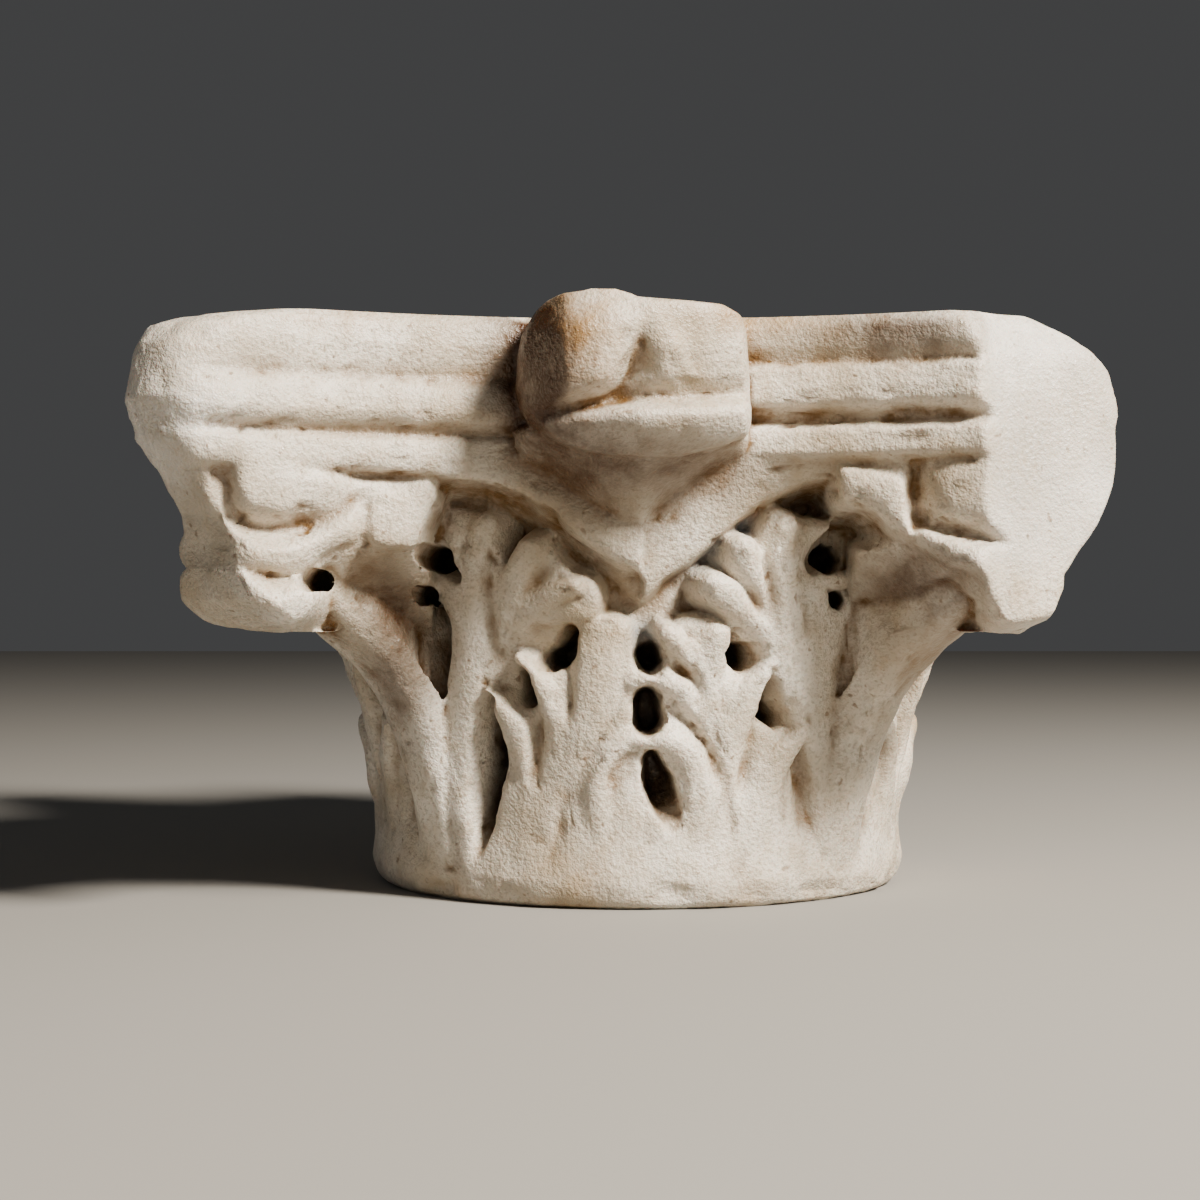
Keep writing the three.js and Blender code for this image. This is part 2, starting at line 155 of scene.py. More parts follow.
def pit(field, X, Z, path, half, floor, wall=12.0):
    """A hole sunk to a floor within a half width of a line, with steep sides."""
    d, share = from_path(X, Z, path)
    width = np.interp(share, np.linspace(0, 1, len(half)), half)
    depth = np.interp(share, np.linspace(0, 1, len(floor)), floor)
    return lower_to(field, depth + wall * np.maximum(d - width * 0.75, 0) ** 1.2, 0.8)


def score(field, X, Z, path, width, depth, fade=(0.3, 1, 1, 0.3)):
    """A groove along a line: deepest on the line, easing out over its width, fading at its ends."""
    d, share = from_path(X, Z, path)
    strength = np.interp(share, np.linspace(0, 1, len(fade)), fade)
    q = np.clip(1 - d / width, 0, 1)
    return field - depth * strength * q * q * (3 - 2 * q)


# The drum: leaves, fronds and drill holes as a radius over angle and height

def arc(points):
    """Places given as degrees from the middle of a side and a height, as millimetres along and up."""
    return np.array(points, float) * (DEGREE, 1)


def leaf_radius(z):
    """The radius of the leaves' faces: the foot's, and a flare that grows as height squared."""
    return BASE_RADIUS + LEAF_FLARE * (np.maximum(z, 0) / LEAF_HEIGHT) ** 2


def frond_radius(z):
    """The radius of the fronds' faces: the foot's, and a flare that grows as height to the power 1.5."""
    return BASE_RADIUS + FROND_FLARE * (np.maximum(z, 0) / FROND_HEIGHT) ** 1.5


def ground_radius(a, z):
    """The cut-back bell between the leaves: level with them at the foot, deepest behind their tips.

    Near the diagonals it stands 4 mm further out, where it carries the corner leaves.
    """
    heights = [0, 8, 16, 30, 45, 58, 68, 76, 82, 96, 110, 124]
    radii = [80, 81, 80, 77.5, 75, 74, 74, 80, 81, 81.5, 84.5, 88]
    return np.interp(z, heights, radii) + 4 * smoothstep(41, 45, np.abs(a)) * smoothstep(12, 36, z)


RIGHT_LEAF = [
    (-1, -4), (-1, 66), (1.6, 72), (2.2, 79.4), (4.6, 79), (5.6, 77.6), (7.2, 79.6), (10, 80.4),
    (13, 79.8), (16.8, 77), (15.5, 74.4), (15.3, 70), (16.6, 67.4), (19, 66.4), (21.4, 68.2),
    (24.9, 68.2), (24.2, 62), (22.9, 56.6), (22.5, 52.6), (24.6, 50.8), (27.4, 49.4), (29.8, 50),
    (33.2, 49.6), (31.4, 44.4), (31.2, 40), (31.6, 36), (32.6, 30), (33.6, 22), (34.6, 14), (35.4, 7),
    (36, -4),
]
RIGHT_LEAF_BARS = [
    ([(4, 76), (6.6, 73), (9.6, 67.6), (12, 60), (13.4, 48)], (2.6, 3.4, 3.8, 3.8, 3),
     (1.8, 1.4, 0.8, 0.2, -1.4)),
    ([(13.2, 74), (12.8, 69), (13.6, 60)], (4.4, 4, 3), (1.4, 0.8, -1)),
    ([(-1.5, 63.2), (2.4, 63.6), (6.4, 61), (9, 56.8), (11.4, 50.6)], (2.8, 3.4, 3.8, 3.6, 2.4),
     (0, 0.8, 0.8, 0.2, -1.4)),
    ([(-1, 46.4), (3, 46.8), (7, 44.6), (10, 39.6), (11.2, 32), (10.8, 22)], (3.6, 3.8, 4.2, 4.8, 5, 4),
     (0.4, 1, 1, 1, 0.6, -1.2)),
    ([(16.6, 42), (19.2, 56), (24, 67)], (5.6, 5.2, 1.8), (-1, 0.6, 2)),
    ([(23.6, 22), (26, 37), (32.2, 48.6)], (7.4, 6, 2), (-1, 0.8, 2)),
    ([(15.6, 60), (16.4, 44), (18.4, 28)], (4.6, 5, 4), (-0.4, 0, -1.2)),
]
RIGHT_LEAF_GROOVES = [
    ([(12, 60.6), (13.3, 52.4), (14.6, 41.6), (17.1, 30.6), (18.1, 17), (19.3, 8.2)], 2.0, 1.0),
    ([(22.6, 53), (21.6, 46), (20.8, 40), (19.6, 33)], 2.8, 2.6),
    ([(4.4, 70.4), (7, 66.6), (9.6, 63.4), (11.2, 58)], 2.6, 3.2),
    ([(3.8, 59), (6, 54.6), (9.2, 51), (12.4, 45), (14.8, 36)], 2.8, 3.0),
    ([(5.6, 79), (8, 73), (9.8, 67)], 2.0, 1.2),
]
LEFT_LEAF = [
    (1, -4), (1, 66), (-1.9, 70), (-2.2, 79), (-5, 80.6), (-9, 80.2), (-13.8, 79.6), (-12.4, 77),
    (-12, 73.6), (-13, 69), (-13.4, 63.6), (-14.6, 66), (-16.4, 66.2), (-18.4, 68), (-19.4, 70.6),
    (-23.4, 70.8), (-21.6, 67), (-20.3, 63), (-19.8, 58.6), (-20.6, 55.6), (-22.6, 54.6), (-24.6, 57.2),
    (-26, 60), (-30.2, 61.4), (-28.6, 55), (-27.6, 48), (-27.4, 42), (-28.2, 36), (-29.8, 30),
    (-32, 20), (-33.6, 12), (-34.4, 5), (-34.4, -4),
]
LEFT_LEAF_BARS = [
    ([(-14.5, 38), (-12, 50), (-8.6, 60), (-7.6, 68)], (5, 7, 8, 7), (-1.2, 0, 0.2, 0)),
    ([(-0.4, 46.6), (-3.4, 46.4), (-6.4, 43), (-8.4, 37), (-8.6, 28), (-8, 20)],
     (3.6, 3.8, 4, 4.4, 4.6, 4), (0.4, 1, 1, 0.8, 0.2, -1.2)),
    ([(-16.6, 40), (-17.2, 56), (-22.2, 69.4)], (5, 4.4, 1.5), (-1, 0.8, 2.8)),
    ([(-22.4, 34), (-24, 47), (-29, 60)], (5, 4.6, 1.5), (-1, 0.8, 2.6)),
]
LEFT_LEAF_GROOVES = [
    ([(-15.6, 31), (-16.5, 21), (-17, 11.5), (-16.8, 5)], 2.6, 1.3),
    ([(-19.9, 57), (-20.4, 50), (-21, 42), (-21.6, 35)], 2.6, 3.2),
    ([(-10.7, 35.4), (-9.1, 41.7), (-6.5, 45.8), (-3, 49.6), (-1.2, 53)], 2.4, 1.6),
    ([(-13.4, 65), (-13.2, 59), (-13.8, 52)], 2.4, 2.2),
]
RIGHT_FROND = [
    (42, -4), (41, 8), (39.6, 18), (38, 30), (36.4, 40), (34.2, 50), (31, 58), (28, 66), (24, 72),
    (19.5, 77), (16, 78.6), (14, 81.4), (11.6, 84.6), (9.6, 87.6), (9.3, 90.6), (11.4, 92),
    (13.6, 91.2), (17, 88), (15.4, 91.6), (14.2, 95.8), (14.4, 99.8), (15.2, 102), (17.4, 102.2),
    (19.4, 99.4), (20.4, 96), (20.4, 100), (21, 104.6), (22, 109.2), (23.8, 109.8), (27.4, 107.2),
    (29.4, 107.6), (34.8, 106), (33.4, 103), (30.6, 99.2), (28.8, 96), (29.6, 93.4), (32, 92), (36, 93),
    (39, 91.2), (38.4, 89.4), (34.4, 88.2), (32.2, 85.6), (33, 82.6), (36.4, 82.4), (40, 84),
    (40.6, 76), (41.4, 62), (43, 50), (46, 36), (46, -4),
]
RIGHT_FROND_BARS = [
    ([(25.5, 84), (25, 94), (24.4, 104)], (5.6, 6, 4), (0, 0.8, 1.8)),
    ([(23, 84), (19.4, 91.4), (16.9, 98.4)], (4, 4.2, 3.7), (-0.8, 1, 2.2)),
    ([(21.5, 78.5), (16.4, 84.2), (12.2, 88.4)], (4, 4.4, 3.7), (-0.8, 1, 2.2)),
    ([(25, 100), (29, 103.6), (33, 104.6)], (4, 3, 1.4), (0, 0.6, 0.4)),
    ([(27.5, 90.5), (32, 90.2), (38.6, 90.4)], (3.2, 2.4, 2.2), (-0.6, -0.6, -1)),
    ([(42, 8), (41, 24), (39.6, 40), (35, 56), (31, 70), (28, 84)], (4, 6, 7, 9, 11, 11),
     (-0.5, 0, 0.2, 0.4, 0.4, 0.2)),
]
RIGHT_FROND_GROOVES = [
    ([(19.6, 99), (21.4, 92), (23, 85), (24.6, 77)], 3, 2.6),
    ([(17.2, 88.4), (19.6, 84.6), (22.4, 80)], 2.6, 2.4),
    ([(25.2, 93), (26, 84), (28.4, 72), (31.6, 58)], 1.8, 0.8),
    ([(40.6, 84), (40.6, 75), (41.6, 62), (43, 50)], 2.6, 2.6),
]
LEFT_FROND = [
    (-35.4, -4), (-35.6, 8), (-35.8, 20), (-35.6, 30), (-34.8, 40), (-34, 50), (-32, 58), (-30, 64),
    (-27.6, 70), (-24, 76), (-20, 78.4), (-16, 79), (-13, 79), (-9, 79.6), (-7.6, 84), (-8.2, 89.4),
    (-9.8, 91.8), (-12.2, 92.2), (-15, 96.6), (-16, 99), (-16.2, 101.4), (-17.4, 103), (-19.6, 102.2),
    (-22.4, 97.6), (-24.6, 92), (-25, 97), (-24.2, 103), (-24.2, 107), (-26, 109.8), (-28.4, 109),
    (-33, 110), (-37, 112.4), (-39.4, 111), (-38.2, 103), (-36.4, 99), (-34, 94), (-32.2, 89.6),
    (-35.6, 92.6), (-41.8, 92), (-44, 89.6), (-40, 87.6), (-37.6, 82.6), (-36.2, 76.4), (-36.8, 70),
    (-38.6, 62), (-40.6, 50), (-41.6, 40), (-42, 30), (-41.4, 20), (-39.4, 10), (-38.6, -4),
]
LEFT_FROND_BARS = [
    ([(-37, 6), (-38.2, 20), (-38.8, 30), (-38.4, 40), (-37.2, 50), (-35, 60), (-33.4, 70), (-32.6, 80),
     (-31.4, 90), (-28.6, 99), (-26.8, 105)], (2.4, 4.8, 5.8, 6, 6, 6, 5.8, 5.8, 6, 5.6, 4),
     (-0.5, 0.4, 0.8, 0.8, 0.8, 0.8, 0.6, 0.3, 0.1, 0.2, 0.8)),
    ([(-23.5, 82), (-21.6, 91), (-18.6, 99.4)], (4.2, 4.2, 2.8), (-0.6, 0.6, 2.8)),
    ([(-22, 80), (-16.8, 85.4), (-11.6, 88.6)], (4, 4, 2.8), (-0.6, 0.6, 2.6)),
    ([(-30, 96), (-33.6, 103), (-36.4, 108.6)], (4.6, 4.4, 2.8), (0, 0.4, 0.4)),
    ([(-34, 86), (-38.6, 89.8), (-43.4, 90.2)], (3.2, 2.4, 2.2), (-0.6, -0.4, -1)),
]
LEFT_FROND_GROOVES = [
    ([(-24.6, 101), (-26.4, 95), (-27.4, 88), (-27.6, 78), (-27, 66)], 4, 2.8),
    ([(-14.4, 97), (-17, 91.4), (-20, 85.6)], 3.2, 1.9),
    ([(-30.6, 102), (-31.8, 97), (-32, 92)], 2, 1.2),
]
# Each hole: a line, half widths along it in millimetres, and the radii of its floor along it.
RIGHT_HOLES = [
    ([(16.8, 74.6), (17.8, 70.8), (19.6, 69.6)], (1.8, 3.6, 4), (78, 68, 66)),
    ([(24.6, 61), (24.8, 56), (27.2, 52.4)], (2.6, 3.6, 2.6), (76, 68, 68)),
    ([(33.8, 103.4), (32.6, 98), (31, 95)], (1.2, 3.6, 2), (74, 70, 74)),
    ([(31.8, 112.4), (33.8, 115.4)], (3.8, 3.6), (73, 74)),
]
LEFT_HOLES = [
    ([(-17, 68.8), (-14.8, 70.8), (-13.2, 75.8)], (3.4, 3.6, 2), (67, 66, 71)),
    ([(-22.8, 63.8), (-22.4, 59)], (3.2, 3.6), (71, 67)),
    ([(-38.4, 101), (-39, 97)], (1, 3), (76, 70)),
    ([(-37.4, 96.6), (-33.4, 91)], (3, 1), (75, 86)),
    ([(-41.4, 84), (-39.8, 78), (-40.2, 70), (-41.9, 60), (-43.4, 50), (-45, 43)],
     (2.6, 4, 3.2, 2.8, 2.4, 1), (71, 75.5, 78, 79.5, 80.5, 84)),
    ([(-29.4, 57.5), (-30.6, 50), (-31, 42), (-31.6, 34), (-33, 24), (-34.6, 13)],
     (1.6, 3.2, 3.8, 3.6, 2.8, 1), (74, 69, 67, 68, 72, 80)),
    ([(-36.4, 117.4), (-35.6, 113.4)], (2.4, 3.4), (76, 74)),
]
MIDDLE_HOLES = [
    ([(0.6, 74.4), (1.2, 70.4), (1.6, 68.8)], (3.2, 4.2, 3.8), (77, 69, 66)),
    ([(1.0, 57.4), (1.3, 52.8)], (4.0, 4.4), (64, 64)),
    ([(2, 41), (3, 36.5), (4.6, 30), (6, 24)], (2.4, 4.9, 5.1, 3.0), (67, 67, 72, 78.5)),
]
PLAIN_MIDDLE_HOLES = [
    ([(0, 75), (0, 69)], (4, 4.2), (76, 69)),
    ([(0, 57), (0, 52)], (3.8, 4), (68, 67)),
    ([(0, 41), (0, 36), (0, 26)], (2, 4.8, 2.4), (69, 70, 80)),
]
# Shallow hollows on the front, right of the middle, in which grey painted shade is laid
SHADED_HOLLOWS = [
    ([(19.6, 107), (17.8, 104)], (4.8, 4.6), (76, 75.5)),
    ([(14.4, 97.5), (13, 94.6)], (4.8, 4.6), (75, 74.5)),
    ([(10.4, 87.5), (8.6, 83.6)], (4.4, 4.2), (78.5, 79)),
]


def foliage(field, X, Z, outline, bars, grooves, radius, sink, wall, side):
    """A plate sunk a little under a radius, rounded bars raised on it, and grooves cut after both."""
    turn = (side, 1)
    leaf = plate(X, Z, rounded(arc(outline) * turn, 1), radius - sink, wall=wall)
    for path, half, lift in bars:
        leaf = raise_to(leaf, tongue(X, Z, through(arc(path) * turn), half, radius, lift, 2.8), 0.6)
    for path, width, depth in grooves:
        leaf = score(leaf, X, Z, through(arc(path) * turn), width, depth)
    return raise_to(field, leaf, 0.8)


def drilled(field, X, Z, holes, side=1):
    """The field with each hole sunk in it."""
    for path, half, floor in holes:
        field = pit(field, X, Z, through(arc(path) * (side, 1)), half, floor)
    return field


def drum_side(A, Z, front):
    """The radius over one side of the drum: the bell, then fronds, then leaves, then holes.

    A frond's flanks slope gently into the channels low down and drop steeply round its fingers;
    a leaf's edges are steep, but for the slope at the foot of its outer tooth. The front's left
    half is its own; on the other sides, where the leaves' tips flare 5 mm more, it is the right
    half mirrored. The foot's edge is worn to a quarter of an ellipse.
    """
    X = A * DEGREE
    more_flare = 0 if front else 5 * (np.maximum(Z, 0) / LEAF_HEIGHT) ** 4
    low, high = leaf_radius(Z) + more_flare, frond_radius(Z)
    field = ground_radius(A, Z)
    if front:
        field = drilled(field, X, Z, SHADED_HOLLOWS)
    frond_wall = 0.8 + 3.6 * np.maximum(smoothstep(75, 83, Z), smoothstep(37, 40, np.abs(A)))
    leaf_wall = 5 - 4 * smoothstep(46, 36, Z) * smoothstep(26, 30, A if front else np.abs(A))
    right_frond = (RIGHT_FROND, RIGHT_FROND_BARS, RIGHT_FROND_GROOVES)
    right_leaf = (RIGHT_LEAF, RIGHT_LEAF_BARS, RIGHT_LEAF_GROOVES)
    left_frond = (LEFT_FROND, LEFT_FROND_BARS, LEFT_FROND_GROOVES) if front else right_frond
    left_leaf = (LEFT_LEAF, LEFT_LEAF_BARS, LEFT_LEAF_GROOVES) if front else right_leaf
    mirror = 1 if front else -1
    for frond, side in ((right_frond, 1), (left_frond, mirror)):
        field = foliage(field, X, Z, *frond, high, 0.7, frond_wall, side)
    for leaf, side in ((right_leaf, 1), (left_leaf, mirror)):
        field = foliage(field, X, Z, *leaf, low, 1.6, leaf_wall, side)
    field = drilled(field, X, Z, RIGHT_HOLES)
    field = drilled(field, X, Z, LEFT_HOLES if front else RIGHT_HOLES, mirror)
    field = drilled(field, X, Z, MIDDLE_HOLES if front else PLAIN_MIDDLE_HOLES)
    worn_foot = BASE_RADIUS - 5.5 + 5.5 * np.sqrt(1 - np.clip(1 - Z / 7, 0, 1) ** 2)
    return lower_to(field, worn_foot + 40 * smoothstep(5, 14, Z), 1)


def closed_skin(rings):
    """Vertices and faces of a skin over rings of points, closed by a fan at each end."""
    rows, count = rings.shape[:2]
    points = np.vstack([rings.reshape(-1, 3), rings[0].mean(0), rings[-1].mean(0)])
    i, j = np.meshgrid(np.arange(rows - 1), np.arange(count), indexing="ij")
    a, b = i * count + j, i * count + (j + 1) % count
    quads = np.stack([a, b, b + count, a + count], -1).reshape(-1, 4)
    k = np.arange(count)
    after = (k + 1) % count
    low = np.stack([after, k, np.full(count, rows * count)], -1)
    last = (rows - 1) * count
    high = np.stack([last + k, last + after, np.full(count, rows * count + 1)], -1)
    return points, quads, np.vstack([low, high])


def drum():
    """Rings of the drum: radius from the field of each side, turned a quarter from side to side."""
    columns, rows = 168, 150
    angles = (np.arange(columns) + 0.5) / columns * 90 - 45
    heights = np.linspace(0, DRUM_TOP, rows)
    A, Z = np.meshgrid(angles, heights)
    front, plain = drum_side(A, Z, True), drum_side(A, Z, False)
    radius = np.hstack([front, plain, plain, plain])
    turn = np.radians(np.hstack([A + 90 * k for k in range(4)]))
    rise = np.hstack([Z] * 4)
    return np.stack([radius * np.sin(turn), -radius * np.cos(turn), rise], -1)


def corner_leaf(corner):
    """Rings of a corner leaf: a rounded section on the diagonal, and the web that ties it to the drum.

    Its reach and width grow with height. Across it the face falls back as one less a power of
    the share of its half width. The web is slimmer beside the front's left channel.
    """
    heights = np.linspace(2, 104, 74)
    reach = np.interp(heights, [2, 8, 15, 29, 45, 57, 65, 72, 77, 84, 92, 104],
                      [75, 80.5, 82.6, 86.5, 92, 98.5, 105.5, 114, 121, 131, 140, 148])[:, None]
    half = np.interp(heights, [2, 45, 65, 77, 90, 104], [9.5, 10, 10.4, 11.6, 12, 12])[:, None]
    across = np.linspace(-1, 1, 25)
    face = reach - (1 - (1 - np.abs(across) ** 3.2) ** (1 / 2.2)) * half * 1.1
    root = np.minimum(np.array([[92.0, 62.0, 62.0, 92.0]]), reach - half * 1.1)
    out = np.hstack([face, root])
    web = (8.5, 8.5, 8.5, 4.5)[corner]
    side = np.hstack([across * half, np.repeat([[web, web, -8, -8]], len(heights), 0)])
    angle = math.radians(45 + 90 * corner)
    x = out * math.sin(angle) + side * math.cos(angle)
    y = -out * math.cos(angle) + side * math.sin(angle)
    return np.stack([x, y, np.repeat(heights[:, None], out.shape[1], 1)], -1)


# Drills under the front's volutes and in its left eye: where a rod goes in, where it ends,
# and its radius at both ends
DRILLS = [
    ((-57.2, -104, 96.8), (-53.4, -50, 95.6), 4.1, 3.6),
    ((-60.6, -100, 86.6), (-57.4, -50, 85.8), 3.2, 2.8),
    ((54, -104, 96.8), (49.6, -50, 95.6), 5, 4.2),
    ((56.4, -100, 85.6), (53, -56, 85), 3.4, 2.8),
    ((-87.4, -130, 91), (-84.4, -84, 89.4), 3.8, 3.2),
]


def rod(start, end, first, last):
    """Rings of a straight rod from a start to an end, its radius changing evenly between them."""
    start, end = np.array(start, float), np.array(end, float)
    along = (end - start) / np.linalg.norm(end - start)
    side = np.cross(along, (0, 0, 1.0))
    side /= np.linalg.norm(side)
    up = np.cross(along, side)
    t = np.linspace(0, 1, 12)[:, None, None]
    turn = np.linspace(0, 2 * math.pi, 24, endpoint=False)[None, :, None]
    middle = start * (1 - t) + end * t
    return middle + (first + (last - first) * t) * (np.cos(turn) * side + np.sin(turn) * up)


# The head: abacus, volutes, arched fillet and bracket as a distance from the axis over a side

# Heights and insets of the mouldings, left and right of the middle: the right ones stand higher
LEFT_MOULDING = ([70, 109, 115, 118, 119.5, 120.6, 122, 126.4, 127.2, 128, 128.8, 130, 131.5, 134, 138, 141,
                  142.5, 144, 147, 152, 157, 160],
                 [60, 60, 20, 10, 6, 3, 2.2, 2.2, 3.2, 4.8, 4.8, 3.4, 0.8, -1, -0.6, 0.6,
                  2.2, 2.8, 1.6, 0.6, 1, 3.6])
RIGHT_MOULDING = ([70, 110, 116, 119.5, 121.5, 122.6, 124, 129.6, 130.6, 131.6, 132.8, 134.5, 136,
                   137.5, 141, 145.5, 146.8, 147.8, 149.5, 152, 157, 160],
                  [60, 60, 20, 11, 7, 3.4, 2.2, 2.2, 3.4, 6, 7, 5.6, 2.2,
                   0.8, 0.4, 1.2, 2.4, 4.2, 3, 1.6, 0.8, 3])
# How far the horns reach along the diagonals at each height
HORN_HEIGHTS = [76.5, 78, 80, 85, 92, 97.5, 100, 106.5, 113, 120.8, 126, 136, 143.8, 150, 155, 158, 160]
HORN_REACHES = [136, 143, 149, 156.5, 159, 158.5, 159, 162, 166.6, 172.4, 176.4, 181, 180, 177.5,
                173, 163, 150]

# The arched fillet over the distance from the middle: the band's top and foot, the ledge's foot,
# and how far the band leans back
ARM_X = [0, 6, 11, 17, 22, 32, 43, 60, 75, 130]
LEFT_ARM = ([104.6, 107, 109.5, 113.2, 116.7, 121.2, 124, 125.4, 125.6, 125.6],
            [92, 95.5, 98.6, 102.6, 107.2, 113.4, 116.8, 118.6, 119.2, 119.2],
            [82, 86.6, 91, 96, 100.6, 107.6, 112.6, 116.4, 119.2, 119.2], 0.5)
RIGHT_ARM = ([104.6, 110, 114.6, 118.6, 121.2, 124.8, 125.8, 125.8, 125.8, 125.8],
             [85, 90.6, 94.4, 99.4, 104, 111.4, 117, 119.8, 120, 120],
             [84.5, 90, 93.8, 98.8, 103.4, 110.8, 116.4, 119.6, 120, 120], 7)

# Outlines of the two volutes' blocks, and how far the blocks stand back from the side at each height
LEFT_BLOCK = [
    (-50, 124), (-53.6, 119), (-55, 113), (-58, 104), (-60, 98.4), (-66, 96.6), (-74, 98), (-80, 96.4),
    (-84, 94.6), (-87, 91), (-86, 86), (-88, 82), (-94, 78.6), (-104, 78.6), (-112, 83), (-124, 92),
    (-140, 124),
]
RIGHT_BLOCK = [
    (50.6, 124), (51, 114), (52.4, 110), (57, 109.6), (61, 107.6), (64.6, 103.6), (70, 100), (74, 97),
    (79, 92.6), (86, 88), (90, 84), (91.6, 81), (98, 79), (106, 81), (112, 86), (140, 92), (140, 124),
]
BLOCK_HEIGHTS = [76, 84, 90, 97, 104, 112, 119, 124]
BLOCK_INSETS = [11, 9, 8.4, 8, 7.6, 6.4, 5.6, 5]
# Rounded bodies of the volutes: an outline, the inset of its top, how far it rounds down and how fast
LEFT_BODIES = [
    ([(-107, 128), (-107, 115), (-105, 109), (-101, 105.6), (-95.5, 104.8), (-88, 106), (-80, 108.6),
     (-75, 113), (-75, 122), (-84, 128)], 1.4, 5, 3.4),
    ([(-116, 102), (-104, 102.4), (-98, 101.4), (-90, 102.4), (-82, 104.8), (-77, 108.4),
     (-72.6, 112.6), (-72.6, 101), (-80, 98.8), (-84, 96.4), (-88, 93.4), (-92, 92.2), (-98, 92.4),
     (-104, 94), (-118, 92)], 2.6, 3.6, 2.6),
    ([(-73, 112.4), (-62, 115.2), (-54.4, 117.6), (-55.4, 112), (-58, 104), (-60, 98.8), (-66, 98),
     (-73, 100)], 4.4, 1.6, 1.6),
    ([(-122, 99), (-110, 96.4), (-104, 93.2), (-98, 89.8), (-92.6, 89), (-88.6, 91.4), (-85.6, 88.4),
     (-84.6, 85.4), (-86.2, 82), (-90, 79), (-97, 77), (-105, 78), (-111, 82), (-120, 90)], 0, 5, 3.6),
]
LEFT_GROOVES = [
    ([(-106.8, 123), (-107, 114), (-105, 108), (-101, 104.3), (-95.6, 103.3), (-88, 104.4), (-80, 107)],
     5.6, 4.6, (0.2, 0.9, 1, 0.9, 0.6, 0)),
    ([(-104, 94.6), (-98, 91.2), (-92, 90.6), (-87, 92.6), (-83, 96)], 3.6, 2, (0, 0.8, 1, 0.6)),
    ([(-90, 118.4), (-83, 118.4), (-74, 118.2), (-62, 118.6), (-51, 119)], 3.2, 4.4, (0, 0.7, 1, 1, 1)),
    ([(-72.6, 111), (-72.2, 100)], 1.4, 0.8, (0.6, 1)),
]
RIGHT_BODIES = [
    ([(51, 119.8), (54, 120.2), (60, 118.8), (66, 117.4), (68.4, 115), (69, 107), (70.4, 100.8),
     (67, 102.4), (63.5, 106), (60, 109.4), (56, 111), (52.2, 110.8)], 2.2, 2, 1.8),
    ([(74.4, 124), (74.2, 110), (76.4, 107), (81, 105.4), (88, 103.6), (94, 101.4), (98, 99.4),
     (130, 97), (130, 124)], 3, 3.4, 2.2),
    ([(70.6, 101.6), (73, 103.6), (78, 102), (86, 100), (92, 98.4), (98, 96), (103, 93.6), (130, 93),
     (118, 88), (108, 80.4), (98, 78), (92.6, 79.8), (90, 85), (84, 89.8), (78, 94), (73.6, 98)], -0.4,
     5, 3.4),
]
RIGHT_GROOVES = [
    ([(71.4, 122), (71.6, 112), (73, 105.6)], 3.6, 5, (0.7, 1, 0.3)),
    ([(72.4, 107), (78, 104), (86, 101.8), (92, 100), (98, 97.6), (104, 94.6)], 3.8, 2.6,
     (0.8, 1, 1, 0.8, 0.3)),
]


# The boss: its left and right edges over height, and how far it stands out over height in its middle
BOSS_EDGES = ([122, 123.5, 126, 128, 131, 134, 140, 148, 154, 158, 160.4, 161.4, 162.6, 163.2],
              [-9, -17, -24, -27.6, -30, -32.4, -34, -33.6, -32, -30, -28, -26, -20, -14],
              [9, 17, 24, 27.4, 28, 28, 28, 27.8, 27.4, 26, 21, -0.6, -3, -7])
PLAIN_BOSS_EDGES = ([122, 125, 129, 134, 146, 156, 160, 162, 163],
                    [-10, -21, -27, -29, -30, -29, -27, -22, -14], [10, 21, 27, 29, 30, 29, 27, 22, 14])
BOSS_REACH = ([120, 123, 125.5, 128, 131, 133.2, 134.4, 135.6, 137.2, 138.8, 141, 148, 156, 160, 164],
              [116, 119.6, 123.4, 126.4, 128.4, 127.8, 125.8, 123, 122.4, 124.2, 126.6, 128.6, 129.4,
               128.6, 123])
# The stump left on the front boss: the outline of what still stands
STUMP = [(-50, 128), (-50, 180), (-6, 180), (-1, 165), (1.6, 158), (-3, 149.4), (-7.4, 142.4), (-10, 139.8),
         (-17, 137.6), (-24, 134.6), (-30, 131.6)]


def side_curve(x):
    """The hollow sweep of a side: its distance in the middle, and more as the square of x."""
    return FACE_DISTANCE + SIDE_SWEEP * x * x


def arms(field, X, Z, table, where):
    """One arm of the arched fillet: a band between two curves over x, and a ledge set back under it."""
    top, low, under = (np.interp(np.abs(X), ARM_X, row) for row in table[:3])
    lean = table[3]
    down = np.clip((top - Z) / (top - low), 0, 1)
    band = side_curve(X) - 1.8 - lean * down
    d = np.minimum(top - Z, Z - low) * 0.85
    band = band - 1.2 * np.exp(-np.maximum(d, 0) / 1.6) - 5 * np.maximum(-d, 0)
    under_share = np.clip((low - Z) / np.maximum(low - under, 1), 0, 1)
    ledge = side_curve(X) - 9.4 - lean - 7 * under_share
    d = np.minimum(low + 3 - Z, Z - under) * 0.85
    ledge = ledge - 1.2 * np.exp(-np.maximum(d, 0) / 2) - 5 * np.maximum(-d, 0)
    arm = raise_to(band, ledge, 1)
    return np.where(where, raise_to(field, arm, 1.2), field)


def bracket(X, Z, top_left, top_right, middle):
    """A pyramid upside down: furthest out at the top middle, running back to the arch on both sides."""
    foot = np.where(X < 0, np.interp(-X, ARM_X, top_left), np.interp(X, ARM_X, top_right))
    half = np.where(X < middle, 33.5, 29.5)
    jut = 27 * np.maximum(1 - (np.abs(X - middle) / half) ** 2.4, 0) ** 0.8
    rise = np.clip((Z - foot) / (127.5 - foot), 0, 1) ** 0.95
    d = np.minimum(Z - foot + 1.5, 129.5 - Z)
    surface = side_curve(X) - 2.4 + jut * rise - 5 * np.maximum(-d, 0)
    return surface - 8 * np.maximum(np.abs(X - middle) - half + 1, 0)


